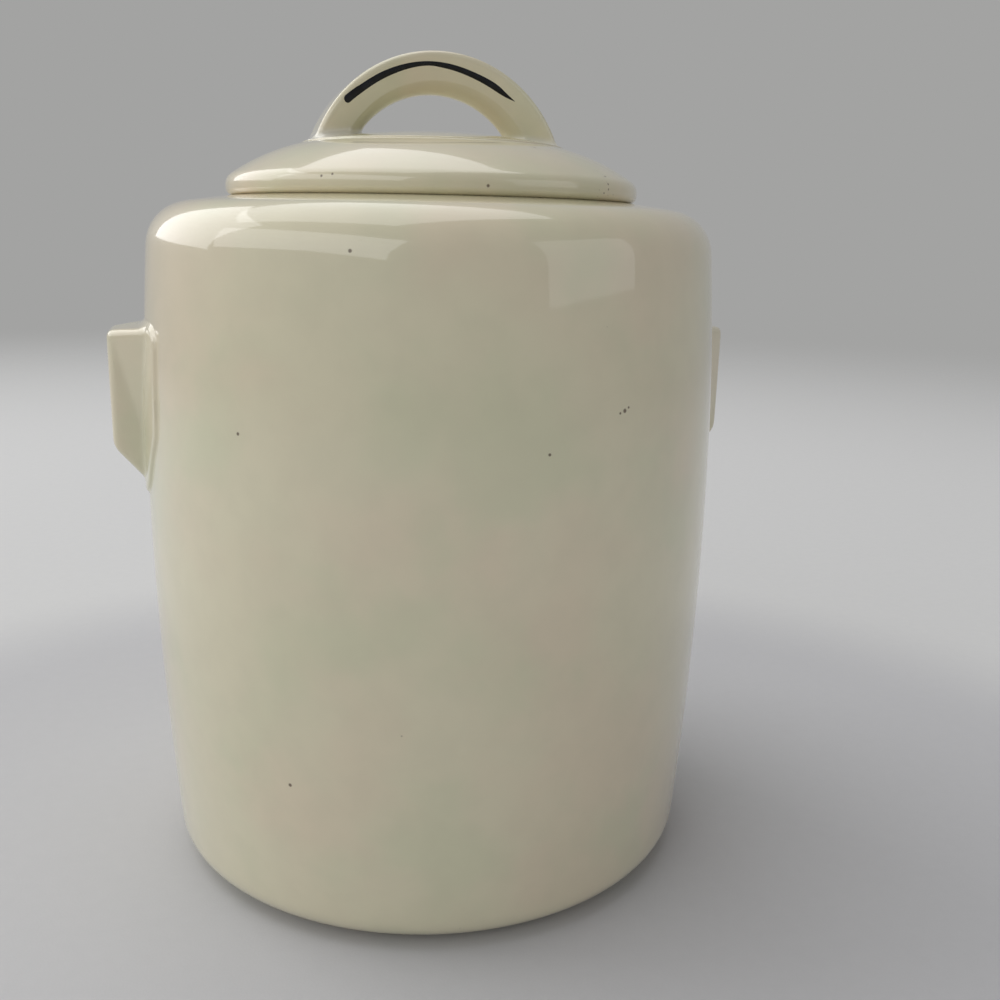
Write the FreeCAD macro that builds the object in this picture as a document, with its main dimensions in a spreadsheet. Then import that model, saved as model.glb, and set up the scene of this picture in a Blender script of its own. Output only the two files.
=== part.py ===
import FreeCAD, Part
import math
import os

import Sketcher

# A glazed earthenware biscuit jar: a barrelled body on a foot ring, two lugs luted to its wall,
# and a loose domed lid with an arched handle luted to its crown. Millimetres, +Z up.
# The origin is on the table under the middle of the jar. The lugs and the handle lie along X.

doc = FreeCAD.newDocument("BiscuitJar")
sheet = doc.addObject("Spreadsheet::Sheet", "Sizes")

DRIVING_SIZES = (
    # The body's outer wall, as two bows that meet upright at the belly.
    ("belly_radius", 67.4),
    ("belly_height", 90.0),
    ("lower_bow_radius", 1000.0),
    ("upper_bow_radius", 680.0),
    ("base_corner_radius", 7.0),
    ("shoulder_corner_radius", 10.5),
    # The foot ring that the jar stands on, and the recess inside it.
    ("foot_height", 1.2),
    ("foot_set_back", 0.4),
    ("foot_width", 5.0),
    ("foot_edge_round", 0.5),
    ("recess_depth", 2.4),
    # The shoulder falls gently from the flat land round the mouth, which the lid rests on.
    ("mouth_height", 156.0),
    ("shoulder_width", 17.0),
    ("shoulder_fall", 2.5),
    ("land_width", 5.4),
    ("lip_round", 1.0),
    ("wall_thickness", 5.0),
    ("floor_thickness", 6.0),
    ("inner_corner_radius", 9.0),
    # The lid, measured up from the land: a rolled rim, a dome, and a low crowned disc on top.
    ("lid_overhang", 0.8),
    ("lid_rim_height", 3.9),
    ("lid_rim_round", 3.2),
    ("lid_underside_round", 1.7),
    ("dome_width", 15.7),
    ("disc_foot_rise", 11.3),
    ("disc_step_height", 0.5),
    ("crown_rise", 15.0),
    ("dome_bow_radius", 46.0),
    ("lid_wall", 5.0),
    # The flange under the lid, which keeps it in the middle of the mouth.
    ("flange_clearance", 1.2),
    ("flange_depth", 8.0),
    ("flange_thickness", 3.6),
    ("flange_round", 1.4),
    # The arched handle: broad and crisp outside, narrower and rounded towards the fingers.
    ("handle_rise", 32.6),
    ("foot_margin", 2.5),
    ("arch_thickness", 8.8),
    ("arch_outer_width", 16.0),
    ("arch_inner_width", 11.4),
    ("arch_belly_depth", 2.6),
    ("arch_edge_round", 1.3),
    ("arch_cheek_round", 1.2),
    ("handle_flare", 1.0),
    ("flare_edge_thickness", 0.04),
    # Each lug: a tapered fin on a thin backing plate that hugs the wall. The fin's root is
    # measured on an upright plane sunk into the wall.
    ("lug_reach", 6.9),
    ("lug_root_sink", 3.0),
    ("lug_tip_width", 13.0),
    ("lug_root_top_width", 33.0),
    ("lug_root_bottom_width", 17.0),
    ("lug_tip_drop", 4.4),
    ("lug_root_drop", 2.4),
    ("lug_tip_length", 26.2),
    ("lug_root_overrun", 1.8),
    ("lug_corner_round", 2.2),
    ("lug_edge_round", 1.2),
    ("lug_root_round", 2.0),
    ("plate_proud", 1.4),
    ("plate_width", 46.0),
    ("plate_top", 131.4),
    ("plate_length", 46.9),
    ("plate_side_length", 31.4),
    ("plate_toe_width", 22.0),
    ("plate_corner_round", 5.0),
    ("plate_edge_round", 0.8),
)


class Size:
    """A length known both as a number and as the expression on the sheet that gives it."""

    def __init__(self, value, text):
        self.value = float(value)
        self.text = text

    def joined(self, other, sign, value):
        return Size(value, f"({self.text} {sign} {other.text})")

    def __add__(self, other):
        other = as_size(other)
        return self.joined(other, "+", self.value + other.value)

    def __sub__(self, other):
        other = as_size(other)
        return self.joined(other, "-", self.value - other.value)

    def __mul__(self, other):
        other = as_size(other)
        return self.joined(other, "*", self.value * other.value)

    def __truediv__(self, other):
        other = as_size(other)
        return self.joined(other, "/", self.value / other.value)

    def root(self):
        return Size(math.sqrt(self.value), f"sqrt({self.text})")


def as_size(number):
    return number if isinstance(number, Size) else Size(number, repr(float(number)))


for row, (alias, value) in enumerate(DRIVING_SIZES, start=1):
    sheet.set(f"A{row}", alias.replace("_", " "))
    sheet.set(f"B{row}", str(value))
    sheet.setAlias(f"B{row}", alias)
doc.recompute()


def size(alias):
    """The sheet's value of that name."""
    return Size(sheet.get(alias), f"Sizes.{alias}")


ZERO = as_size(0)


def origin_plane(body, role):
    return next(feature for feature in body.Origin.OriginFeatures if feature.Role == role)


def new_body(name):
    body = doc.addObject("PartDesign::Body", name)
    body.Label = name
    return body


def new_sketch(body, name, role, offset_axis=None, offset=None):
    """A sketch on one of the body's origin planes, moved along an axis of its own if need be."""
    sketch = body.newObject("Sketcher::SketchObject", name)
    sketch.AttachmentSupport = (origin_plane(body, role), "")
    sketch.MapMode = "FlatFace"
    if offset_axis is not None:
        shift = FreeCAD.Vector()
        setattr(shift, offset_axis, offset.value)
        sketch.AttachmentOffset = FreeCAD.Placement(shift, FreeCAD.Rotation())
        sketch.setExpression(f"AttachmentOffset.Base.{offset_axis}", offset.text)
    return sketch


def bind(sketch, name, constraint, length):
    """Add a constraint and tie its value to the sheet."""
    index = sketch.addConstraint(constraint)
    sketch.renameConstraint(index, name)
    sketch.setExpression(f"Constraints.{name}", length.text)


def pin(sketch, name, edge, end, across, up):
    """Hold one end of an edge at a place given by two sizes."""
    for axis, kind, length in ((-2, "DistanceX", across), (-1, "DistanceY", up)):
        if length is ZERO:
            sketch.addConstraint(Sketcher.Constraint("PointOnObject", edge, end, axis))
        else:
            constraint = Sketcher.Constraint(kind, -1, 1, edge, end, length.value)
            bind(sketch, f"{name}_{'across' if axis == -2 else 'up'}", constraint, length)


def bowed_edge(start, end, radius):
    """An arc between two points, bulging away from the axis, or downwards on a level chord."""
    chord = end - start
    middle = (start + end) * 0.5
    outward = FreeCAD.Vector(chord.y, -chord.x, 0).normalize()
    if outward.x < 0:
        outward = outward * -1
    sink = math.sqrt(radius ** 2 - (chord.Length / 2) ** 2)
    centre = middle - outward * sink
    return Part.Arc(start, centre + outward * radius, end)


def outline(sketch, corners):
    """Close an outline through named corners (name, across, up, radius of the bow that follows)."""
    points = [FreeCAD.Vector(across.value, up.value, 0) for name, across, up, bow in corners]
    count = len(corners)
    ends = []
    for index, (name, across, up, bow) in enumerate(corners):
        start = points[index]
        end = points[(index + 1) % count]
        if bow is None:
            sketch.addGeometry(Part.LineSegment(start, end), False)
            ends.append((1, 2))
        else:
            sketch.addGeometry(bowed_edge(start, end, bow.value), False)
            runs_onward = sketch.getPoint(index, 1).isEqual(start, 1e-6)
            ends.append((1, 2) if runs_onward else (2, 1))
    for index, (name, across, up, bow) in enumerate(corners):
        following = (index + 1) % count
        joint = Sketcher.Constraint("Coincident", index, ends[index][1], following, ends[following][0])
        sketch.addConstraint(joint)
        pin(sketch, name, index, ends[index][0], across, up)
        if bow is not None:
            bind(sketch, f"{name}_bow", Sketcher.Constraint("Radius", index, bow.value), bow)
    doc.recompute()


def turned(body, kind, name, sketch, axis="V_Axis"):
    """A Revolution or a Groove of a sketch about one of its own axes, all the way round."""
    feature = body.newObject(f"PartDesign::{kind}", name)
    feature.Profile = sketch
    feature.ReferenceAxis = (sketch, [axis])
    feature.Angle = 360
    sketch.Visibility = False
    doc.recompute()
    return feature


def dressed(body, kind, measure, name, span, chosen):
    """Rounds or bevels the chosen edges of the body as it stands."""
    base = body.Tip
    shape = base.Shape
    edges = [f"Edge{n}" for n, edge in enumerate(shape.Edges, start=1) if chosen(edge, shape)]
    if not edges:
        raise RuntimeError(f"{name}: no edge found")
    feature = body.newObject(f"PartDesign::{kind}", name)
    feature.Base = (base, edges)
    setattr(feature, measure, span.value)
    feature.setExpression(measure, span.text)
    doc.recompute()


def rounded(body, name, radius, chosen):
    dressed(body, "Fillet", "Radius", name, radius, chosen)


def bevelled(body, name, width, chosen):
    dressed(body, "Chamfer", "Size", name, width, chosen)


def is_round(edge):
    return not edge.Degenerated and isinstance(edge.Curve, Part.Circle)


def ring(*places):
    """Chooses the round edges about Z that lie at the given radii and heights."""
    def chosen(edge, shape):
        if not is_round(edge):
            return False
        curve = edge.Curve
        return any(
            abs(curve.Radius - radius.value) < 1e-3 and abs(curve.Center.z - height.value) < 1e-3
            for radius, height in places
        )
    return chosen


# Where the outer wall stands at a height, which the shoulder and the lugs follow.
belly_radius = size("belly_radius")
belly_height = size("belly_height")


def wall_radius(height, depth=ZERO):
    """The wall's radius at a height, at a depth under its outer face."""
    above = height.value > belly_height.value
    bow = size("upper_bow_radius") if above else size("lower_bow_radius")
    rise = height - belly_height
    inner_bow = bow - depth
    return belly_radius - bow + (inner_bow * inner_bow - rise * rise).root()




# The jar's body, cast hollow: foot ring, barrelled wall, shoulder, mouth and a floor inside.
jar = new_body("jar_body")
wall = size("wall_thickness")
foot_height = size("foot_height")
base_radius = wall_radius(foot_height)
foot_outer = base_radius - size("base_corner_radius") - size("foot_set_back")
foot_inner = foot_outer - size("foot_width")
recess_depth = size("recess_depth")
mouth_height = size("mouth_height")
shoulder_height = mouth_height - size("shoulder_fall")
shoulder_radius = wall_radius(shoulder_height)
land_outer = shoulder_radius - size("shoulder_width")
mouth_radius = land_outer - size("land_width")
inner_shoulder_height = shoulder_height - wall
floor_height = recess_depth + size("floor_thickness")
lower_bow = size("lower_bow_radius")
upper_bow = size("upper_bow_radius")
inner_shoulder_radius = wall_radius(inner_shoulder_height, wall)
inner_base_radius = wall_radius(floor_height, wall)

jar_profile = new_sketch(jar, "jar_profile", "XZ_Plane")
outline(jar_profile, (
    ("foot_inner", foot_inner, ZERO, None),
    ("foot_outer", foot_outer, ZERO, None),
    ("foot_top", foot_outer, foot_height, None),
    ("base", base_radius, foot_height, lower_bow),
    ("belly", belly_radius, belly_height, upper_bow),
    ("shoulder", shoulder_radius, shoulder_height, None),
    ("land", land_outer, mouth_height, None),
    ("mouth", mouth_radius, mouth_height, None),
    ("neck", mouth_radius, mouth_height - wall, None),
    ("inner_shoulder", inner_shoulder_radius, inner_shoulder_height, upper_bow - wall),
    ("inner_belly", belly_radius - wall, belly_height, lower_bow - wall),
    ("inner_base", inner_base_radius, floor_height, None),
    ("floor_middle", ZERO, floor_height, None),
    ("recess_middle", ZERO, recess_depth, None),
    ("recess_edge", foot_inner, recess_depth, None),
))
turned(jar, "Revolution", "jar_turned", jar_profile)
rounded(jar, "base_corner", size("base_corner_radius"), ring((base_radius, foot_height)))
rounded(jar, "shoulder_corner", size("shoulder_corner_radius"), ring((shoulder_radius, shoulder_height)))
rounded(jar, "inner_corners", size("inner_corner_radius"), ring(
    (inner_base_radius, floor_height),
    (inner_shoulder_radius, inner_shoulder_height),
))
rounded(jar, "lip", size("lip_round"), ring((mouth_radius, mouth_height), (mouth_radius, mouth_height - wall)))
rounded(jar, "foot_edges", size("foot_edge_round"), ring((foot_inner, ZERO), (foot_outer, ZERO)))

# The lid, cast hollow: a rolled rim on the land, a dome, a low crowned disc, and a flange below.
lid = new_body("lid")
lid_radius = land_outer + size("lid_overhang")
lid_wall = size("lid_wall")
rim_height = mouth_height + size("lid_rim_height")
disc_radius = lid_radius - size("dome_width")
disc_foot_height = mouth_height + size("disc_foot_rise")
disc_edge_height = disc_foot_height + size("disc_step_height")
crown_height = mouth_height + size("crown_rise")
crown_sagitta = crown_height - disc_edge_height
crown_bow = (disc_radius * disc_radius + crown_sagitta * crown_sagitta) / (crown_sagitta * 2)
flange_outer = mouth_radius - size("flange_clearance")
flange_inner = flange_outer - size("flange_thickness")
flange_bottom = mouth_height - size("flange_depth")
inner_crown_height = crown_height - lid_wall
inner_rim_height = rim_height - size("lid_rim_height") / 2
inner_rise = inner_crown_height - inner_rim_height
inner_dome_bow = (flange_inner * flange_inner + inner_rise * inner_rise) / (inner_rise * 2)

lid_profile = new_sketch(lid, "lid_profile", "XZ_Plane")
outline(lid_profile, (
    ("rim_under", lid_radius, mouth_height, None),
    ("rim_over", lid_radius, rim_height, size("dome_bow_radius")),
    ("disc_foot", disc_radius, disc_foot_height, None),
    ("disc_edge", disc_radius, disc_edge_height, crown_bow),
    ("crown", ZERO, crown_height, None),
    ("inner_crown", ZERO, inner_crown_height, inner_dome_bow),
    ("inner_rim", flange_inner, inner_rim_height, None),
    ("flange_inner", flange_inner, flange_bottom, None),
    ("flange_outer", flange_outer, flange_bottom, None),
    ("seat", flange_outer, mouth_height, None),
))
turned(lid, "Revolution", "lid_turned", lid_profile)
rounded(lid, "rim_roll", size("lid_rim_round"), ring((lid_radius, rim_height)))
rounded(lid, "rim_underside", size("lid_underside_round"), ring((lid_radius, mouth_height)))
rounded(lid, "flange_edges", size("flange_round"), ring((flange_inner, flange_bottom), (flange_outer, flange_bottom)))

# The arched handle, pressed and luted to the crown. Its section is turned half round a level
# axis across the jar, and its feet are flared onto the lid's crown.
handle = new_body("lid_handle")
arch_radius = disc_radius - size("foot_margin")
arch_centre = mouth_height + size("handle_rise") - arch_radius
arch_inner_radius = arch_radius - size("arch_thickness")
half_outer = size("arch_outer_width") / 2
half_inner = size("arch_inner_width") / 2
belly_depth = size("arch_belly_depth")
cheek_radius = arch_inner_radius + belly_depth
belly_bow = (half_inner * half_inner + belly_depth * belly_depth) / (belly_depth * 2)

arch_section = new_sketch(handle, "arch_section", "YZ_Plane", "y", arch_centre)
outline(arch_section, (
    ("cheek_left", ZERO - half_inner, cheek_radius, belly_bow),
    ("cheek_right", half_inner, cheek_radius, None),
    ("crest_right", half_outer, arch_radius, None),
    ("crest_left", ZERO - half_outer, arch_radius, None),
))
arch = handle.newObject("PartDesign::Revolution", "arch")
arch.Profile = arch_section
arch.ReferenceAxis = (arch_section, ["H_Axis"])
arch.Angle = 180
arch.Midplane = True
arch_section.Visibility = False
doc.recompute()


def arch_edge(radius):
    """Chooses the long edges of the arch that run round its axis at a radius."""
    def chosen(edge, shape):
        if not is_round(edge):
            return False
        curve = edge.Curve
        about_axis = abs(curve.Center.x) < 1e-3 and abs(curve.Center.z - arch_centre.value) < 1e-3
        return about_axis and abs(curve.Radius - radius.value) < 1e-3
    return chosen


rounded(handle, "arch_edges", size("arch_edge_round"), arch_edge(arch_radius))
rounded(handle, "arch_cheeks", size("arch_cheek_round"), arch_edge(cheek_radius))

# The flares run out to a thin edge on a blank that lies this much under the crown, and the crown
# then cuts them off.
flare_edge = size("flare_edge_thickness")
crown_profile = new_sketch(handle, "crown_profile", "XZ_Plane")
outline(crown_profile, (
    ("under_middle", ZERO, arch_centre - lid_wall, None),
    ("under_edge", disc_radius, arch_centre - lid_wall, None),
    ("disc_edge", disc_radius, disc_edge_height - flare_edge, crown_bow),
    ("crown", ZERO, crown_height - flare_edge, None),
))
turned(handle, "Revolution", "crown_blank", crown_profile)
blank_centre = FreeCAD.Vector(0, 0, (crown_height - flare_edge - crown_bow).value)


def on_blank(edge, shape):
    """Chooses the edges where the arch meets the blank."""
    middle = edge.valueAt((edge.FirstParameter + edge.LastParameter) / 2)
    places = [vertex.Point for vertex in edge.Vertexes] + [middle]
    inside = math.hypot(middle.x, middle.y) < disc_radius.value - 1e-3
    return inside and all(
        abs(place.distanceToPoint(blank_centre) - crown_bow.value) < 1e-3 for place in places
    )


bevelled(handle, "foot_flares", size("handle_flare"), on_blank)
crown_cut = new_sketch(handle, "crown_cut", "XZ_Plane")
cut_radius = disc_radius + lid_wall
cut_sagitta = crown_bow - (crown_bow * crown_bow - cut_radius * cut_radius).root()
outline(crown_cut, (
    ("under_middle", ZERO, arch_centre - lid_wall * 2, None),
    ("under_edge", cut_radius, arch_centre - lid_wall * 2, None),
    ("crown_edge", cut_radius, crown_height - cut_sagitta, crown_bow),
    ("crown", ZERO, crown_height, None),
))
turned(handle, "Groove", "crown_removed", crown_cut)

# The two lugs, pressed and luted to the wall: a tapered fin on a thin plate curved to the jar.
lug_tip = belly_radius + size("lug_reach")
lug_root = belly_radius - size("lug_root_sink")
plate_radius = belly_radius + size("plate_proud")
plate_half = size("plate_width") / 2
plate_toe_half = size("plate_toe_width") / 2
plate_top = size("plate_top")
plate_toe = plate_top - size("plate_length")
plate_taper = plate_top - size("plate_side_length")
tip_top = plate_top - size("lug_tip_drop")
root_top = plate_top - size("lug_root_drop")
root_bottom = plate_toe - size("lug_root_overrun")
tip_half = size("lug_tip_width") / 2
root_half_top = size("lug_root_top_width") / 2
root_half_bottom = size("lug_root_bottom_width") / 2
FLAT = 1e-3


def touching_faces(edge, shape):
    return [face for face in shape.Faces if any(edge.isSame(other) for other in face.Edges)]


def spots(edge):
    """An edge's ends and its middle."""
    middle = edge.valueAt((edge.FirstParameter + edge.LastParameter) / 2)
    return [vertex.Point for vertex in edge.Vertexes] + [middle]


def reach_of(place):
    """A place's distance from the jar's axis."""
    return math.hypot(place.x, place.y)


def plate_corner(edge, shape):
    """Chooses the plate's corners, which run level outwards."""
    if edge.Degenerated or not isinstance(edge.Curve, Part.Line):
        return False
    return abs(abs(edge.Curve.Direction.x) - 1) < FLAT


def plate_rim(edge, shape):
    """Chooses the outline of the plate's outer face."""
    return all(abs(reach_of(place) - plate_radius.value) < FLAT for place in spots(edge))


def tip_end(edge, shape):
    """Chooses the top and bottom edges of the fin's tip."""
    start, end, middle = spots(edge)
    at_tip = abs(middle.x - lug_tip.value) < FLAT
    return at_tip and abs(start.z - end.z) < FLAT and abs(start.x - end.x) < FLAT


def fin_side(edge, shape):
    """Chooses the two outlines of the fin, from the plate out over the tip and back."""
    start, end, middle = spots(edge)
    return reach_of(middle) > plate_radius.value + FLAT and start.y * end.y > 0


def fin_root(edge, shape):
    """Chooses the line round the fin where it leaves the plate's outer face."""
    outermost = max(face.BoundBox.XMax for face in touching_faces(edge, shape))
    return plate_rim(edge, shape) and outermost > plate_radius.value + FLAT


def make_lug(name, turn):
    """One lug on the +X side, with its whole body turned about Z to its own side of the jar."""
    lug = new_body(name)
    plate_outline = new_sketch(lug, name + "_plate_outline", "YZ_Plane")
    outline(plate_outline, (
        ("top_left", ZERO - plate_half, plate_top, None),
        ("taper_left", ZERO - plate_half, plate_taper, None),
        ("toe_left", ZERO - plate_toe_half, plate_toe, None),
        ("toe_right", plate_toe_half, plate_toe, None),
        ("taper_right", plate_half, plate_taper, None),
        ("top_right", plate_half, plate_top, None),
    ))
    plate = lug.newObject("PartDesign::Pad", name + "_plate")
    plate.Profile = plate_outline
    plate.setExpression("Length", (lug_tip + size("lug_reach")).text)
    plate_outline.Visibility = False
    doc.recompute()
    rounded(lug, name + "_plate_corners", size("plate_corner_round"), plate_corner)

    face_cut = new_sketch(lug, name + "_plate_face", "XZ_Plane")
    clear_of_plate = size("lug_reach") * 3
    outline(face_cut, (
        ("inner_low", plate_radius, plate_toe - clear_of_plate, None),
        ("outer_low", plate_radius + clear_of_plate, plate_toe - clear_of_plate, None),
        ("outer_high", plate_radius + clear_of_plate, plate_top + clear_of_plate, None),
        ("inner_high", plate_radius, plate_top + clear_of_plate, None),
    ))
    turned(lug, "Groove", name + "_plate_curve", face_cut)
    rounded(lug, name + "_plate_rim", size("plate_edge_round"), plate_rim)

    sections = []
    for place, reach, half_top, top, half_bottom, bottom in (
        ("root", lug_root, root_half_top, root_top, root_half_bottom, root_bottom),
        ("tip", lug_tip, tip_half, tip_top, tip_half, tip_top - size("lug_tip_length")),
    ):
        section = new_sketch(lug, f"{name}_{place}", "YZ_Plane", "z", reach)
        outline(section, (
            ("top_left", ZERO - half_top, top, None),
            ("bottom_left", ZERO - half_bottom, bottom, None),
            ("bottom_right", half_bottom, bottom, None),
            ("top_right", half_top, top, None),
        ))
        section.Visibility = False
        sections.append(section)
    fin = lug.newObject("PartDesign::AdditiveLoft", name + "_fin")
    fin.Profile = sections[0]
    fin.Sections = [sections[1]]
    fin.Ruled = True
    doc.recompute()
    rounded(lug, name + "_tip_ends", size("lug_corner_round"), tip_end)
    rounded(lug, name + "_fin_sides", size("lug_edge_round"), fin_side)
    rounded(lug, name + "_fin_root", size("lug_root_round"), fin_root)

    wall_outline = new_sketch(lug, name + "_wall_outline", "XZ_Plane")
    outline(wall_outline, (
        ("low_middle", ZERO, foot_height, None),
        ("base", base_radius, foot_height, lower_bow),
        ("belly", belly_radius, belly_height, upper_bow),
        ("shoulder", shoulder_radius, shoulder_height, None),
        ("high_middle", ZERO, shoulder_height, None),
    ))
    turned(lug, "Groove", name + "_seat", wall_outline)
    lug.Placement = FreeCAD.Placement(FreeCAD.Vector(), FreeCAD.Rotation(FreeCAD.Vector(0, 0, 1), turn))
    doc.recompute()
    return lug


right_lug = make_lug("right_lug", 0)
left_lug = make_lug("left_lug", 180)

for feature in doc.Objects:
    if set(feature.State) & {"Invalid", "Error"}:
        raise RuntimeError(f"{feature.Label} did not compute: {feature.State}")

os.makedirs("parts", exist_ok=True)
for piece in (jar, left_lug, right_lug, lid, handle):
    shape = piece.Shape
    if shape.isNull() or not shape.isValid() or len(shape.Solids) != 1:
        raise RuntimeError(f"{piece.Label} is not one sound solid")
    shape.exportStep(f"parts/{piece.Label}.step")
    print(piece.Label, f"{shape.Volume / 1000:.1f} cm3", shape.BoundBox)
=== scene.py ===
import cmath
import math

import bmesh
import bpy
from mathutils import Matrix, Vector
from mathutils.geometry import interpolate_bezier


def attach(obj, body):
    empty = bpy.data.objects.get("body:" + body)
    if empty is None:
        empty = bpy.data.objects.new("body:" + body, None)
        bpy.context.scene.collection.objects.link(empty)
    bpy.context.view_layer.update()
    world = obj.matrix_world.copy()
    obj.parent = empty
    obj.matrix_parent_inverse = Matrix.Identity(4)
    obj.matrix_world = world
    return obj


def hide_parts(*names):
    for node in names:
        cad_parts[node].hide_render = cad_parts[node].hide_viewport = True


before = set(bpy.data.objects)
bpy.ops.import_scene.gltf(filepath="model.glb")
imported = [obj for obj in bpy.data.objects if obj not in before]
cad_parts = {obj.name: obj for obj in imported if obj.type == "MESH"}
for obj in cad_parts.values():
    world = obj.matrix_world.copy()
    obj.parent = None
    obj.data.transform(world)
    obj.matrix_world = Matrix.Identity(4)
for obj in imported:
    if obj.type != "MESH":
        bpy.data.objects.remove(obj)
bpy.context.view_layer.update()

# ---- The jar's body ----
# A barrelled pot of fired earthenware on a turned foot ring, dipped in a thick cream glaze.
# The glaze covers all but the ring that it stood on in the kiln. Lengths are in millimetres.
MM = 0.001
BELLY_RADIUS, BELLY_HEIGHT = 67.4, 90.0
LOWER_BOW, UPPER_BOW = 1000.0, 680.0
WALL = 5.0
FLOOR_HEIGHT, FLOOR_ROUND = 8.4, 9.0
FOOT_HEIGHT, FOOT_RECESS = 1.2, 2.4
FOOT_SET_BACK, FOOT_WIDTH = 7.4, 5.0
HEEL_ROUND, SHOULDER_ROUND = 7.0, 10.5
MOUTH_HEIGHT = 156.0
SHOULDER_HEIGHT = MOUTH_HEIGHT - 2.5
SHOULDER_WIDTH, LAND_WIDTH = 17.8, 4.6
GLAZE_EDGE = 1.1
ROUND_STEPS = 240


def wall_radius(height, inset=0.0):
    """The outer wall's radius at a height, or the radius of a wall set in from it."""
    bowed = (LOWER_BOW if height < BELLY_HEIGHT else UPPER_BOW) - inset
    fall = height - BELLY_HEIGHT
    return BELLY_RADIUS - inset - bowed + math.sqrt(bowed * bowed - fall * fall)


LAND_OUTER = wall_radius(SHOULDER_HEIGHT) - SHOULDER_WIDTH
MOUTH_RADIUS = LAND_OUTER - LAND_WIDTH
FOOT_OUTER = wall_radius(FOOT_HEIGHT) - FOOT_SET_BACK
FOOT_INNER = FOOT_OUTER - FOOT_WIDTH


def bow(start, end, radius, share):
    """The place and the heading at a share of the way along a bow that bulges to the right."""
    chord = end - start
    along = chord / abs(chord)
    if not radius:
        return start + chord * share, along
    half = math.asin(abs(chord) / 2 / radius)
    angle = half * (2 * share - 1)
    turned = cmath.exp(1j * angle)
    return start + radius / 1j * (turned - cmath.exp(-1j * half)) * along, along * turned


def outline(corners, spacing):
    """Places along a half section. A corner is radius, height, rounding and the bow that follows."""
    spots = [complex(corner[0], corner[1]) for corner in corners]
    sides = list(zip(spots, spots[1:], (corner[3] for corner in corners)))
    trims = [0.0]
    for before, after, corner in zip(sides, sides[1:], corners[1:]):
        turn = cmath.phase(bow(*after, 0)[1] / bow(*before, 1)[1])
        trims.append(corner[2] * math.tan(abs(turn) / 2))
    trims.append(0.0)
    places = []
    last = None
    for number, (start, end, radius) in enumerate(sides):
        length = abs(end - start)
        first, stop = trims[number] / length, 1 - trims[number + 1] / length
        begin, heading = bow(start, end, radius, first)
        if last:
            bend = abs(cmath.phase(heading / last[1]))
            reach = 4 / 3 * math.tan(bend / 4) * corners[number][2]
            knots = (last[0], last[0] + last[1] * reach, begin - heading * reach, begin)
            curve = interpolate_bezier(*(Vector((knot.real, knot.imag)) for knot in knots), 10)
            places.extend(complex(*spot) for spot in curve[1:-1])
        steps = max(1, round(length * (stop - first) / spacing))
        for step in range(steps + 1):
            places.append(bow(start, end, radius, first + (stop - first) * step / steps)[0])
        last = bow(start, end, radius, stop) if trims[number + 1] else None
        if last is None and number < len(sides) - 1:
            places.pop()
    return places


class Wire:
    """One output in a tree of nodes. Sums written on it add the Math nodes that work them out."""

    def __init__(self, tree, output=None):
        self.tree = tree
        self.output = output

    def node(self, kind, settings=None, sockets=None, output=0):
        """The output of a new node, whose sockets take values or other wires."""
        made = self.tree.nodes.new(kind)
        for name, value in (settings or {}).items():
            setattr(made, name, value)
        for name, value in (sockets or {}).items():
            if isinstance(value, Wire):
                self.tree.links.new(value.output, made.inputs[name])
            else:
                made.inputs[name].default_value = value
        return Wire(self.tree, made.outputs[output])

    def show(self, kind):
        """Lead this to the tree's own output."""
        self.tree.links.new(self.output, self.tree.nodes.new(kind).inputs[0])

    def sum(self, operation, *values):
        return self.node("ShaderNodeMath", {"operation": operation}, dict(enumerate(values)))

    def __add__(self, other):
        return self.sum("ADD", self, other)

    __radd__ = __add__

    def __sub__(self, other):
        return self.sum("SUBTRACT", self, other)

    def __rsub__(self, other):
        return self.sum("SUBTRACT", other, self)

    def __mul__(self, other):
        return self.sum("MULTIPLY", self, other)

    __rmul__ = __mul__

    def __truediv__(self, other):
        return self.sum("DIVIDE", self, other)

    def __rtruediv__(self, other):
        return self.sum("DIVIDE", other, self)

    def larger(self, other):
        return self.sum("MAXIMUM", self, other)

    def rise(self, low, high):
        """0 below low, 1 above high, and smooth between them."""
        return self.node("ShaderNodeMapRange", {"interpolation_type": "SMOOTHSTEP"},
                         {"Value": self, "From Min": low, "From Max": high})

    def tint(self, under, over):
        """A colour that goes from under to over as this goes from 0 to 1."""
        return self.node("ShaderNodeMix", {"data_type": "RGBA"}, {0: self, 6: under, 7: over}, 2)

    def noise(self, scale, detail=2.0, shift=0.0):
        """Cloudy noise at this place. A shift gives a second cloud that isn't like the first."""
        moved = self.node("ShaderNodeVectorMath", {"operation": "ADD"}, {0: self, 1: (shift, shift, shift)})
        return self.node("ShaderNodeTexNoise", {}, {"Vector": moved, "Scale": scale, "Detail": detail})

    def away(self, spot):
        """The distance in metres from a spot that is given in millimetres."""
        spot = tuple(length * MM for length in spot)
        return self.node("ShaderNodeVectorMath", {"operation": "DISTANCE"}, {0: self, 1: spot}, 1)

    def height(self):
        return self.node("ShaderNodeSeparateXYZ", {}, {0: self}, 2)

    def bump(self):
        """The slope of a surface that this raises, in millimetres."""
        return self.node("ShaderNodeBump", {}, {"Strength": 1.0, "Distance": MM, "Height": self})


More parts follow.
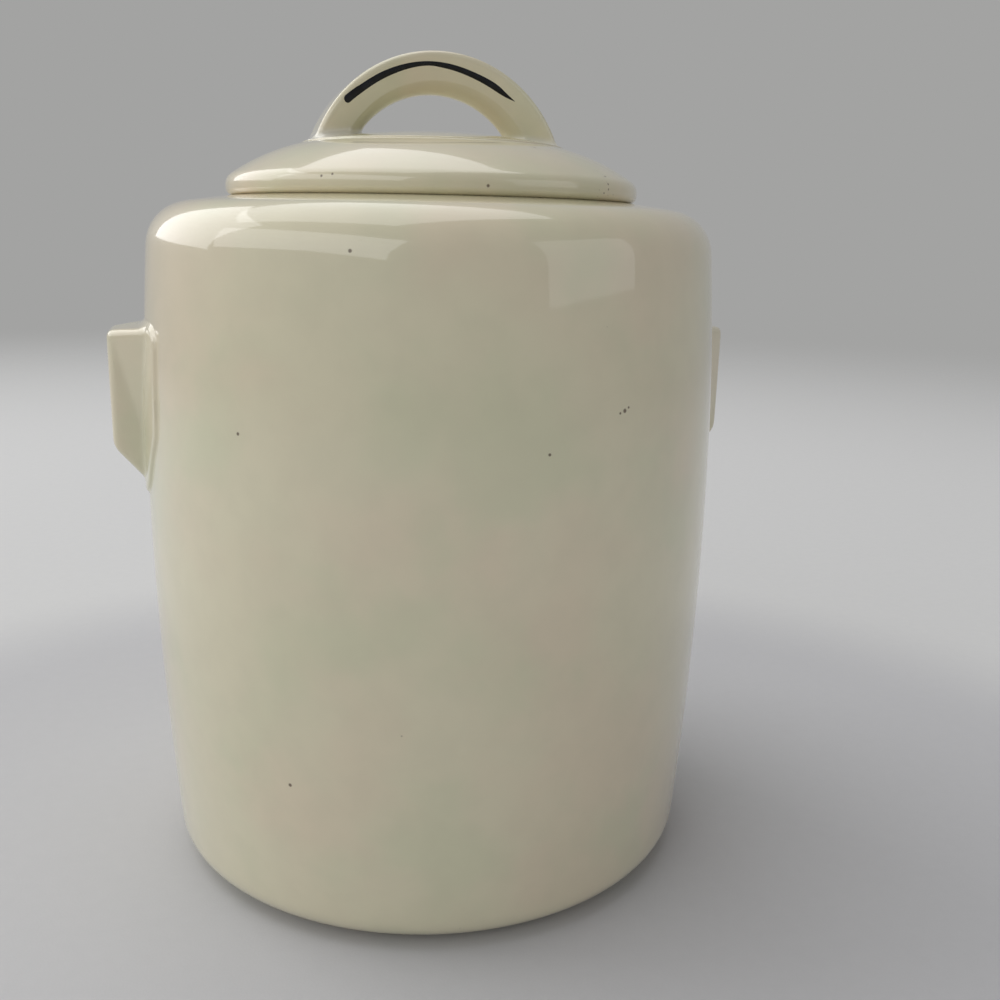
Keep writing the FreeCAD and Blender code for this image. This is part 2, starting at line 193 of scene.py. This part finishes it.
def make_lathe():
    """The tree that turns an outline about the jar's axis."""
    tree = bpy.data.node_groups.new("turned_on_the_wheel", "GeometryNodeTree")
    for name, kind in (("Outline", "Geometry"), ("Steps round", "Int"), ("Finish", "Material")):
        tree.interface.new_socket(name, in_out="INPUT", socket_type="NodeSocket" + kind)
    tree.interface.new_socket("Turned", in_out="OUTPUT", socket_type="NodeSocketGeometry")
    given = tree.nodes.new("NodeGroupInput").outputs
    half, steps, finish = (Wire(tree, given[name]) for name in ("Outline", "Steps round", "Finish"))
    count = half.node("GeometryNodeAttributeDomainSize", {}, {"Geometry": half}, "Point Count")
    grid = half.node("GeometryNodeMeshGrid", {}, {
        "Size X": 1.0, "Size Y": 1.0, "Vertices X": steps + 1, "Vertices Y": count,
    })
    index = half.node("GeometryNodeInputIndex")
    row = index.sum("MODULO", index, count)
    column = index.sum("FLOOR", index / count)
    spot = half.node("GeometryNodeSampleIndex", {"data_type": "FLOAT_VECTOR", "domain": "POINT"}, {
        "Geometry": half, "Value": half.node("GeometryNodeInputPosition"), "Index": row,
    })
    swung = half.node("ShaderNodeVectorRotate", {"rotation_type": "Z_AXIS"}, {
        "Vector": spot, "Angle": column / steps * math.tau,
    })
    placed = half.node("GeometryNodeSetPosition", {}, {"Geometry": grid, "Position": swung})
    closed = half.node("GeometryNodeMergeByDistance", {}, {"Geometry": placed, "Distance": 1e-6})
    smooth = half.node("GeometryNodeSetShadeSmooth", {}, {"Geometry": closed, "Shade Smooth": True})
    real = half.node("GeometryNodeRealizeInstances", {}, {"Geometry": smooth})
    glazed = half.node("GeometryNodeSetMaterial", {}, {"Geometry": real, "Material": finish})
    glazed.show("NodeGroupOutput")
    return tree


def set_out(name, mesh):
    """A new piece with this mesh, put in the scene."""
    piece = bpy.data.objects.new(name, mesh)
    bpy.context.collection.objects.link(piece)
    return piece


def plain_piece(name, rough):
    """The piece that a rough one's modifiers make, as a plain mesh. The rough one goes."""
    seen = rough.evaluated_get(bpy.context.evaluated_depsgraph_get())
    mesh = bpy.data.meshes.new_from_object(seen)
    mesh.name = name
    bpy.data.objects.remove(rough)
    return set_out(name, mesh)


def turn_piece(name, corners, spacing, finish):
    """A piece turned on the lathe from the corners of its outline."""
    places = outline(corners, spacing)
    mesh = bpy.data.meshes.new(name + "_outline")
    mesh.from_pydata([(spot.real * MM, 0, spot.imag * MM) for spot in places],
                     [(n, n + 1) for n in range(len(places) - 1)], [])
    rough = set_out(name + "_outline", mesh)
    modifier = rough.modifiers.new("lathe", "NODES")
    modifier.node_group = lathe
    sockets = {item.name: item.identifier for item in lathe.interface.items_tree}
    modifier[sockets["Steps round"]] = ROUND_STEPS
    modifier[sockets["Finish"]] = finish
    return plain_piece(name, rough)


def colour(red, green, blue):
    """A colour written as a screen shows it, from 0 to 255, in the shader's own scale."""
    def linear(level):
        level /= 255
        return level / 12.92 if level <= 0.04045 else ((level + 0.055) / 1.055) ** 2.4
    return (linear(red), linear(green), linear(blue), 1.0)


def blank_finish(name):
    """A material with no nodes, and a wire to its Object coordinates."""
    finish = bpy.data.materials.new(name)
    finish.use_nodes = True
    finish.node_tree.nodes.clear()
    return finish, Wire(finish.node_tree).node("ShaderNodeTexCoord", output="Object")


def clouded_cream(place):
    """The glaze's cream, with warmer and greener clouds where it lies thick or thin."""
    warm = place.noise(22.0, 3.0).rise(0.42, 0.66)
    green = place.noise(34.0, 3.0, 5.0).rise(0.46, 0.7)
    brown = place.noise(130.0, 4.0, 9.0).rise(0.3, 0.75)
    body = warm.tint(colour(228, 221, 191), colour(230, 217, 189))
    body = (green * 0.7).tint(body, colour(217, 217, 184))
    return (brown * 0.16).tint(body, colour(206, 199, 172))


def pinholes(place, marks, peppered):
    """1 in the glaze's dark specks and 0 between them. A mark is a speck's place and radius."""
    cells = {"Vector": place, "Scale": 150.0, "Randomness": 1.0}
    pick = place.node("ShaderNodeTexVoronoi", {}, cells, "Color")
    pick = pick.node("ShaderNodeSeparateColor", {}, {0: pick})
    depth = place.node("ShaderNodeTexVoronoi", {}, cells, "Distance")
    specks = (1 - depth.rise(0.015, 0.05)) * pick.rise(0.93, 0.95)
    for x, y, z, radius in marks:
        specks = specks.larger(1 - place.away((x, y, z)).rise(radius * 0.5 * MM, radius * 1.2 * MM))
    if peppered:
        x, y, z, radius = peppered
        near = 1 - place.away((x, y, z)).rise(radius * 0.4 * MM, radius * MM)
        prick = place.node("ShaderNodeTexVoronoi", {}, {"Vector": place, "Scale": 900.0}, "Distance")
        some = place.noise(500.0, 2.0, 6.0).rise(0.5, 0.56)
        specks = specks.larger((1 - prick.rise(0.16, 0.3)) * near * some)
    return specks


def glaze(name, marks=(), peppered=None, bare_below=None, painted_highlight_below=None):
    """The cream glaze. It is full of pinpricks round the peppered place, stops short of the bare
    ring below one height, and below another is whitened as a painted highlight."""
    finish, place = blank_finish(name)
    specks = pinholes(place, marks, peppered)
    body = clouded_cream(place)
    # A painted highlight: below a height the cream is whitened, round the handle's feet.
    if painted_highlight_below is not None:
        ragged = place.height() + place.noise(150.0) * 0.001
        painted_highlight = 1 - ragged.rise((painted_highlight_below - 1) * MM, (painted_highlight_below + 2) * MM)
        body = (painted_highlight * 0.75).tint(body, colour(242, 240, 228))
    body = (specks * 0.85).tint(body, colour(92, 74, 58))
    coat = 1 - specks * 0.5
    rough = 0.26 + 0.1 * place.noise(60.0, 2.0, 3.0)
    if bare_below is not None:
        flat = place.node("ShaderNodeVectorMath", {"operation": "MULTIPLY"}, {0: place, 1: (1, 1, 0)})
        edge = bare_below * MM + (place.noise(300.0, 2.0, 2.0) - 0.5) * 0.0008
        low = 1 - (place.height() - edge).rise(-0.0001, 0.0001)
        bare = low * flat.away((0, 0, 0)).rise((FOOT_INNER - 0.55) * MM, (FOOT_INNER - 0.25) * MM)
        clay = place.noise(1400.0, 4.0).tint(colour(170, 142, 112), colour(206, 180, 148))
        body = bare.tint(body, clay)
        coat = coat * (1 - bare)
        rough = rough.larger(bare * 0.85)
    swell = place.noise(16.0, 1.0, 1.0) * 0.30 + place.noise(60.0, 1.0, 4.0) * 0.028
    peel = place.noise(420.0, 1.0, 7.0) * 0.0022 - specks * 0.06
    surface = place.node("ShaderNodeBsdfPrincipled", {}, {
        "Base Color": body, "Roughness": rough, "Coat Weight": coat, "Coat Roughness": 0.045,
        "Coat IOR": 1.6, "Specular IOR Level": 0.3, "Normal": (swell + peel).bump(),
    })
    surface.show("ShaderNodeOutputMaterial")
    return finish


lathe = make_lathe()
jar_marks = (
    (24.7, -62.2, 115.5, 0.5), (23.6, -62.7, 115.1, 0.3), (25.7, -61.9, 116.1, 0.32),
    (7.8, -66.7, 108.2, 0.35), (-48.9, -45.9, 110.3, 0.4), (-41.4, -51.4, 37.3, 0.45),
    (-7.8, -63.3, 5.2, 0.4), (-28.6, -58.5, 145.4, 0.4),
)
jar = turn_piece("jar_turned", (
    # Outside, from under the floor to the mouth.
    (0, FOOT_RECESS, 0, 0), (FOOT_INNER, FOOT_RECESS, 0.8, 0), (FOOT_INNER, 0, 0.5, 0),
    (FOOT_OUTER, 0, 0.5, 0), (FOOT_OUTER, FOOT_HEIGHT, 0.3, 0),
    (wall_radius(FOOT_HEIGHT), FOOT_HEIGHT, HEEL_ROUND, LOWER_BOW),
    (BELLY_RADIUS, BELLY_HEIGHT, 0, UPPER_BOW),
    (wall_radius(SHOULDER_HEIGHT), SHOULDER_HEIGHT, SHOULDER_ROUND, 0),
    (LAND_OUTER, MOUTH_HEIGHT, 2.0, 0), (MOUTH_RADIUS, MOUTH_HEIGHT, 1.0, 0),
    # Inside, from the mouth down to the floor.
    (MOUTH_RADIUS, MOUTH_HEIGHT - WALL, 1.0, 0),
    (wall_radius(SHOULDER_HEIGHT - WALL, WALL), SHOULDER_HEIGHT - WALL, 9.0, WALL - UPPER_BOW),
    (BELLY_RADIUS - WALL, BELLY_HEIGHT, 0, WALL - LOWER_BOW),
    (wall_radius(FLOOR_HEIGHT, WALL), FLOOR_HEIGHT, FLOOR_ROUND, 0), (0, FLOOR_HEIGHT, 0, 0),
), 2.0, glaze("cream_glaze_on_the_jar", jar_marks, bare_below=GLAZE_EDGE))
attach(jar, "jar")
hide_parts("jar_body")

# ---- The lugs ----
# Two pressed fins of the same clay, each on a thin plate, luted to the wall with slip before
# firing. The glaze has run into the corners and softened every edge.
LUG_TIP, LUG_ROOT = BELLY_RADIUS + 6.9, BELLY_RADIUS - 3.0
PLATE_TOP, PLATE_SHOULDER, PLATE_TOE = 128.3, 105.6, 90.4
PLATE_HALF, TOE_HALF, PLATE_ROUND = 20.0, 10.0, 5.0
PLATE_PROUD, PLATE_DEPTH = 0.75, 2.0
# The patch of wall that a lug's skin is drawn over, which ends just under the jar's glaze.
PATCH_BOTTOM, PATCH_TOP, PATCH_HALF = 84.0, 136.0, 27.0
PATCH_UNDER, PATCH_DEPTH = 0.08, 3.0
# The fin's half width at the top, its top, its half width at the bottom, and its bottom.
FIN_ROOT = (15.0, 127.8, 8.0, 89.6)
FIN_TIP = (6.5, 126.8, 6.5, 100.8)
FIN_ROUND = 1.5
SKIN_GRAIN, SKIN_EASING = 0.36, 22


def plate_half(height):
    """Half the plate's width at a height: upright sides, a tapered toe and rounded corners."""
    half = PLATE_HALF
    if height < PLATE_SHOULDER:
        share = (height - PLATE_TOE) / (PLATE_SHOULDER - PLATE_TOE)
        half = TOE_HALF + (PLATE_HALF - TOE_HALF) * share
    near = min(PLATE_TOP - height, height - PLATE_TOE, PLATE_ROUND)
    return half - PLATE_ROUND + math.sqrt(PLATE_ROUND ** 2 - (PLATE_ROUND - near) ** 2)


def curved_slab(shell, side, bottom, top, half_at, outside, inside):
    """A slab that hugs the jar, added to a shell. Its two faces are set off from the wall."""
    rows = columns = 40
    wide = columns + 1
    layers = []
    for proud in (outside, inside):
        layer = []
        for row in range(rows + 1):
            height = bottom + (top - bottom) * (1 - math.cos(math.pi * row / rows)) / 2
            reach = wall_radius(height) + proud
            for column in range(wide):
                angle = half_at(height) / BELLY_RADIUS * (2 * column / columns - 1)
                spot = Vector((reach * math.cos(angle) * side, reach * math.sin(angle) * side, height))
                layer.append(shell.verts.new(spot * MM))
        layers.append(layer)
    front, back = layers
    for row in range(rows):
        for column in range(columns):
            at = row * wide + column
            shell.faces.new((front[at], front[at + 1], front[at + wide + 1], front[at + wide]))
            shell.faces.new((back[at], back[at + wide], back[at + wide + 1], back[at + 1]))
    rim = list(range(columns)) + [row * wide + columns for row in range(rows)]
    rim += [rows * wide + column for column in range(columns, 0, -1)]
    rim += [row * wide for row in range(rows, 0, -1)]
    for start, end in zip(rim, rim[1:] + rim[:1]):
        shell.faces.new((front[end], front[start], back[start], back[end]))


def join_rings(shell, rings):
    """Faces between each ring of corners and the next."""
    for lower, upper in zip(rings, rings[1:]):
        for number in range(len(lower)):
            after = (number + 1) % len(lower)
            shell.faces.new((lower[number], lower[after], upper[after], upper[number]))


def fin(shell, side):
    """The tapered fin, from inside the wall out to its tip, added to a shell."""
    rings = []
    for reach, (top_half, top, bottom_half, bottom) in ((LUG_ROOT, FIN_ROOT), (LUG_TIP, FIN_TIP)):
        corners = ((-bottom_half, bottom), (bottom_half, bottom), (top_half, top), (-top_half, top))
        rings.append([shell.verts.new(Vector((reach * side, y * side, z)) * MM) for y, z in corners])
    root, tip = rings
    shell.faces.new(tip)
    shell.faces.new(root[::-1])
    join_rings(shell, rings)
    eased = [edge for edge in shell.edges if any(corner in tip for corner in edge.verts)]
    bmesh.ops.bevel(shell, geom=eased, offset=FIN_ROUND * MM, segments=5, profile=0.5, affect="EDGES")


def mesh_of(name, shell):
    """A plain mesh of a shell, which is then done with."""
    mesh = bpy.data.meshes.new(name)
    shell.to_mesh(mesh)
    shell.free()
    return mesh


def pressed_lug(name, side):
    """Fin, plate and the wall behind them, fused under one skin with its edges eased."""
    shell = bmesh.new()
    fin(shell, side)
    curved_slab(shell, side, PATCH_BOTTOM, PATCH_TOP, lambda height: PATCH_HALF, -PATCH_UNDER, -PATCH_DEPTH)
    curved_slab(shell, side, PLATE_TOE, PLATE_TOP, plate_half, PLATE_PROUD, -PLATE_DEPTH)
    rough = set_out(name + "_rough", mesh_of(name + "_rough", shell))
    skin = rough.modifiers.new("skin", "REMESH")
    skin.mode = "VOXEL"
    skin.voxel_size = SKIN_GRAIN * MM
    ease = rough.modifiers.new("ease", "SMOOTH")
    ease.factor = 0.5
    ease.iterations = SKIN_EASING
    piece = plain_piece(name, rough)
    piece.data.shade_smooth()
    return piece


lug_glaze = glaze("cream_glaze_on_the_lugs")
for node, side in (("right_lug", 1), ("left_lug", -1)):
    lug = pressed_lug(node + "_pressed", side)
    lug.data.materials.clear()
    lug.data.materials.append(lug_glaze)
    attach(lug, "jar")
    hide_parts(node)

# ---- The lid ----
# A loose lid, thrown hollow: a rolled rim, a dome, and a low crowned disc for the handle. A
# flange under it keeps it in the mouth.
LID_RADIUS = LAND_OUTER + 0.8
RIM_HEIGHT, DOME_BOW = 3.9, 46.0
DISC_RADIUS = LID_RADIUS - 17.2
DISC_FOOT, DISC_EDGE = MOUTH_HEIGHT + 11.8, MOUTH_HEIGHT + 12.1
CROWN = MOUTH_HEIGHT + 15.0
CROWN_BOW = (DISC_RADIUS ** 2 + (CROWN - DISC_EDGE) ** 2) / (CROWN - DISC_EDGE) / 2
FLANGE_OUTER, FLANGE_DROP = MOUTH_RADIUS - 1.2, 8.0
FLANGE_INNER = FLANGE_OUTER - 3.6
HOLLOW_EDGE = MOUTH_HEIGHT + RIM_HEIGHT / 2
HOLLOW_RISE = CROWN - WALL - HOLLOW_EDGE
HOLLOW_BOW = (FLANGE_INNER ** 2 + HOLLOW_RISE ** 2) / HOLLOW_RISE / 2
lid_marks = (
    (14.5, -31.7, 166.6, 0.35), (-28.7, -37.5, 159.6, 0.3), (-30.6, -36.0, 159.2, 0.3),
    (0.1, -47.4, 157.9, 0.35), (-6.4, -46.7, 160.6, 0.3),
)
lid_peppered = (30.0, -37.3, 158.3, 7.0)
lid = turn_piece("lid_turned", (
    # Inside, from the top of the hollow down to the flange.
    (0, CROWN - WALL, 0, -HOLLOW_BOW), (FLANGE_INNER, HOLLOW_EDGE, 0.6, 0),
    (FLANGE_INNER, MOUTH_HEIGHT - FLANGE_DROP, 1.4, 0),
    (FLANGE_OUTER, MOUTH_HEIGHT - FLANGE_DROP, 1.4, 0), (FLANGE_OUTER, MOUTH_HEIGHT, 0.4, 0),
    # Outside, from under the rim up to the crown.
    (LID_RADIUS, MOUTH_HEIGHT, 1.7, 0), (LID_RADIUS, MOUTH_HEIGHT + RIM_HEIGHT, 3.2, DOME_BOW),
    (DISC_RADIUS, DISC_FOOT, 0.2, 0), (DISC_RADIUS, DISC_EDGE, 0.25, CROWN_BOW), (0, CROWN, 0, 0),
), 1.2, glaze("cream_glaze_on_the_lid", lid_marks, lid_peppered))
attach(lid, "lid")
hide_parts("lid")

# ---- The handle ----
# An arch of clay, pressed broad outside and narrow towards the fingers, luted across the lid's
# crown. Glaze has pooled round its two feet, and its cream is whitened there as a painted highlight.
ARCH_RADIUS, ARCH_CENTRE = DISC_RADIUS - 0.2, CROWN - 12.9
ARCH_THICKNESS, ARCH_BELLY = 8.8, 2.6
HALF_OUTER, HALF_INNER = 8.0, 5.7
CHEEK_RADIUS = ARCH_RADIUS - ARCH_THICKNESS + ARCH_BELLY
BELLY_BOW = (HALF_INNER ** 2 + ARCH_BELLY ** 2) / ARCH_BELLY / 2
CHEEK_ROUND, EDGE_ROUND = 1.3, 1.2
FLARE, FOOT_ROOT = 1.7, 0.35
FLARE_STEPS, ARCH_STEPS = 10, 110


def crown_height(x, y):
    """The height of the lid's crown."""
    return CROWN - CROWN_BOW + math.sqrt(CROWN_BOW ** 2 - x * x - y * y)


def arch_section():
    """The arch's section as sideways places and radius, all the way round."""
    half = outline((
        (0, CHEEK_RADIUS - ARCH_BELLY, 0, BELLY_BOW), (HALF_INNER, CHEEK_RADIUS, CHEEK_ROUND, 0),
        (HALF_OUTER, ARCH_RADIUS, EDGE_ROUND, 0), (0, ARCH_RADIUS, 0, 0),
    ), 0.5)
    return half + [complex(-spot.real, spot.imag) for spot in half[-2:0:-1]]


def turn_above_crown(spot, rise):
    """How far round the arch, from its foot, a place of the section is this high over the crown."""
    low, high = 0.0, math.pi / 2
    for _ in range(40):
        middle = (low + high) / 2
        x = spot.imag * math.cos(middle)
        above = ARCH_CENTRE + spot.imag * math.sin(middle) - crown_height(x, spot.real)
        low, high = (middle, high) if above < rise else (low, middle)
    return low


def flared_foot(section):
    """Rings of places from just under the crown to the top of the right foot's flare."""
    outward = []
    for number in range(len(section)):
        along = section[(number + 1) % len(section)] - section[number - 1]
        outward.append(along / abs(along) * -1j)
    curve = [FLARE * (1 - math.cos(math.pi / 2 * step / FLARE_STEPS)) for step in range(FLARE_STEPS + 1)]
    rings = []
    for rise in [-FOOT_ROOT] + curve:
        lift = max(rise, 0.0)
        spread = FLARE - math.sqrt(max(0.0, FLARE ** 2 - (FLARE - lift) ** 2))
        ring = []
        for spot, out in zip(section, outward):
            wide = spot + out * spread
            x = wide.imag * math.cos(turn_above_crown(spot, lift))
            ring.append((x, wide.real, crown_height(x, wide.real) + rise))
        rings.append(ring)
    return rings


def handle_mesh():
    """The arch's section swept from the right foot over to the left."""
    section = arch_section()
    starts = [turn_above_crown(spot, FLARE) for spot in section]
    foot = flared_foot(section)
    rings = list(foot)
    for step in range(1, ARCH_STEPS):
        ring = []
        for spot, start in zip(section, starts):
            angle = start + (math.pi - 2 * start) * step / ARCH_STEPS
            ring.append((spot.imag * math.cos(angle), spot.real, ARCH_CENTRE + spot.imag * math.sin(angle)))
        rings.append(ring)
    rings += [[(-x, y, z) for x, y, z in ring] for ring in reversed(foot)]
    shell = bmesh.new()
    made = [[shell.verts.new(Vector(spot) * MM) for spot in ring] for ring in rings]
    join_rings(shell, made)
    for ring in (made[0], made[-1]):
        middle = shell.verts.new(sum((vert.co for vert in ring), Vector()) / len(ring))
        for start, end in zip(ring, ring[1:] + ring[:1]):
            shell.faces.new((start, middle, end))
    bmesh.ops.recalc_face_normals(shell, faces=shell.faces)
    mesh = mesh_of("handle_pressed", shell)
    mesh.shade_smooth()
    return mesh


handle = set_out("handle_pressed", handle_mesh())
# The glaze round the handle's feet is whitened there as a painted highlight.
handle.data.materials.append(glaze("cream_glaze_on_the_handle", painted_highlight_below=CROWN - 1))
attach(handle, "lid")
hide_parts("lid_handle")

# ---- The painted line ----
# One stroke of dark enamel along the front cheek of the handle, laid on with a liner brush: it
# starts in a round blob at the left foot, thins over the crown and runs out in a point.
STROKE_PROUD, STROKE_UNDER, STROKE_DEPTH = 0.13, 0.02, 0.1
STROKE_STEPS, STROKE_ACROSS, CAP_STEPS = 16, 12, 8
stroke_course = (
    # Turn about the arch's centre in degrees, distance from it, and width.
    (138.0, 28.1, 1.8), (128.3, 27.6, 1.65), (114.2, 27.4, 1.45), (97.2, 27.3, 1.0),
    (87.3, 26.9, 1.2), (73.6, 26.4, 1.35), (61.0, 26.3, 1.45), (54.2, 26.3, 0.85), (48.6, 26.7, 0.1),
)


def between(before, first, second, after, share):
    """A smooth course between the first and second of four values."""
    slope, next_slope = (second - before) / 2, (after - first) / 2
    rest = 1 - share
    return (first * (1 + 2 * share) * rest * rest + slope * share * rest * rest
            + second * share * share * (3 - 2 * share) - next_slope * share * share * rest)


def stroke_line():
    """The stroke's course in small steps, from its round start to its point."""
    turn, radius, width = stroke_course[0]
    line = []
    for step in range(CAP_STEPS):
        angle = math.pi / 2 * step / CAP_STEPS
        back = math.degrees(width / 2 * math.cos(angle) / radius)
        line.append((turn + back, radius, max(0.05, width * math.sin(angle))))
    course = (stroke_course[0],) + stroke_course + (stroke_course[-1],)
    for number in range(1, len(course) - 2):
        for step in range(STROKE_STEPS):
            line.append([between(*four, step / STROKE_STEPS) for four in zip(*course[number - 1:number + 3])])
    line.append(stroke_course[-1])
    return line


def on_cheek(turn, reach, proud):
    """A place on the handle's front cheek, or proud of it, in metres."""
    angle = math.radians(turn)
    share = (reach - CHEEK_RADIUS) / (ARCH_RADIUS - CHEEK_RADIUS)
    face = HALF_INNER + (HALF_OUTER - HALF_INNER) * share
    return Vector((reach * math.cos(angle), -face - proud, ARCH_CENTRE + reach * math.sin(angle))) * MM


def stroke_mesh():
    """The stroke as a thin body, domed outside and flat inside the cheek."""
    shell = bmesh.new()
    sides = [2 * step / STROKE_ACROSS - 1 for step in range(STROKE_ACROSS + 1)]
    rings = []
    for turn, radius, width in stroke_line():
        domed = [(side, STROKE_PROUD * (1 - side * side) * min(1.0, width) - STROKE_UNDER) for side in sides]
        flat = [(side, -STROKE_DEPTH) for side in reversed(sides)]
        rings.append([shell.verts.new(on_cheek(turn, radius + width / 2 * side, proud))
                      for side, proud in domed + flat])
    join_rings(shell, rings)
    shell.faces.new(rings[0][::-1])
    shell.faces.new(rings[-1])
    bmesh.ops.recalc_face_normals(shell, faces=shell.faces)
    mesh = mesh_of("painted_line", shell)
    mesh.shade_smooth()
    return mesh


def enamel():
    """Near-black enamel, thinner and bluer in places, with the brush's fine streaks."""
    finish, place = blank_finish("dark_enamel")
    thin = place.noise(500.0, 3.0).rise(0.35, 0.75)
    streak = place.noise(1500.0, 2.0, 4.0)
    surface = place.node("ShaderNodeBsdfPrincipled", {}, {
        "Base Color": thin.tint(colour(5, 6, 11), colour(20, 23, 32)), "Roughness": 0.2 + 0.2 * streak,
        "Specular IOR Level": 0.3, "Normal": (streak * 0.01).bump(),
    })
    surface.show("ShaderNodeOutputMaterial")
    return finish


stroke = set_out("painted_line", stroke_mesh())
stroke.data.materials.append(enamel())
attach(stroke, "lid")

# ---- The table ----
# A pale matt surface with the fine grain of a cloth. It thins out far behind the jar, so that it
# meets the grey room without a line.
TABLE_HALF = 6.0


def table_finish():
    """The table's pale grey, a little lighter away from the jar."""
    finish, place = blank_finish("pale_table")
    far = place.away((-10, -50, 0)).rise(0.19, 0.27)
    grain = place.noise(260.0, 4.0) * 0.5 + place.noise(1800.0, 2.0) * 0.5
    pale = far.tint(colour(206, 206, 208), colour(226, 226, 225))
    surface = place.node("ShaderNodeBsdfPrincipled", {}, {
        "Base Color": (grain * 0.12).tint(pale, colour(140, 140, 140)), "Roughness": 0.9,
        "Specular IOR Level": 0.2, "Normal": (grain * 0.05).bump(),
        "Alpha": 1 - place.away((0, 0, 0)).rise(0.45, 1.5),
    })
    surface.show("ShaderNodeOutputMaterial")
    return finish


table_mesh = bpy.data.meshes.new("table")
table_corners = [(x * TABLE_HALF, y * TABLE_HALF, 0) for x, y in ((-1, -1), (1, -1), (1, 1), (-1, 1))]
table_mesh.from_pydata(table_corners, [], [(0, 1, 2, 3)])
table = set_out("table", table_mesh)
table_mesh.materials.append(table_finish())

# ---- The light ----
# A grey room, a broad window to the left, a smaller one to the right, a lamp behind on the left
# and a soft light overhead. Each lamp is given by its place and size in metres, and its level.
AIM = Vector((0, 0, 0.1))
world = bpy.data.worlds.new("grey_room")
bpy.context.scene.world = world
world.use_nodes = True
world.node_tree.nodes.clear()
camera_ray, glossy_ray, through_ray = (
    Wire(world.node_tree).node("ShaderNodeLightPath", output=ray)
    for ray in ("Is Camera Ray", "Is Glossy Ray", "Is Transmission Ray")
)
seen_straight = camera_ray.larger(glossy_ray).larger(through_ray)
glow = seen_straight.tint(colour(126, 126, 128), colour(163, 163, 162))
glow.node("ShaderNodeBackground", {}, {"Color": glow, "Strength": 1.0}).show("ShaderNodeOutputWorld")
for name, place, width, height, level in (
    ("left_window", (-2.5, -1.08, 1.45), 4.6, 1.6, 1.3),
    ("right_window", (2.0, -1.65, 1.0), 2.0, 1.5, 0.6),
    ("side_light", (-2.1, 1.7, 1.5), 2.6, 2.2, 1.7),
    ("ceiling_light", (-0.5, 0.8, 3.2), 3.4, 3.4, 1.3),
):
    lamp = bpy.data.lights.new(name, "AREA")
    lamp.shape = "RECTANGLE"
    lamp.size = width
    lamp.size_y = height
    lamp.energy = level * math.pi * width * height
    lit = set_out(name, lamp)
    lit.location = place
    lit.rotation_euler = (AIM - Vector(place)).to_track_quat("-Z", "Y").to_euler()

# ---- The camera ----
# A wide lens close to the jar, a little above it and to the left of its front. The matrix holds
# the camera's right, its up and its back as columns, then its place in metres.
camera_data = bpy.data.cameras.new("camera")
camera_data.lens = 38.99
camera_data.sensor_width = 36.0
camera_data.clip_start = 0.01
camera = set_out("camera", camera_data)
right = Vector((0.95998, -0.27935, 0.01977)).normalized()
forward = Vector((0.27576, 0.93059, -0.24076)).normalized()
up = right.cross(forward)
camera.matrix_world = Matrix((
    (right.x, up.x, -forward.x, -0.05865),
    (right.y, up.y, -forward.y, -0.25813),
    (right.z, up.z, -forward.z, 0.14936),
    (0, 0, 0, 1),
))
bpy.context.scene.camera = camera
bpy.context.scene.view_settings.view_transform = "Standard"
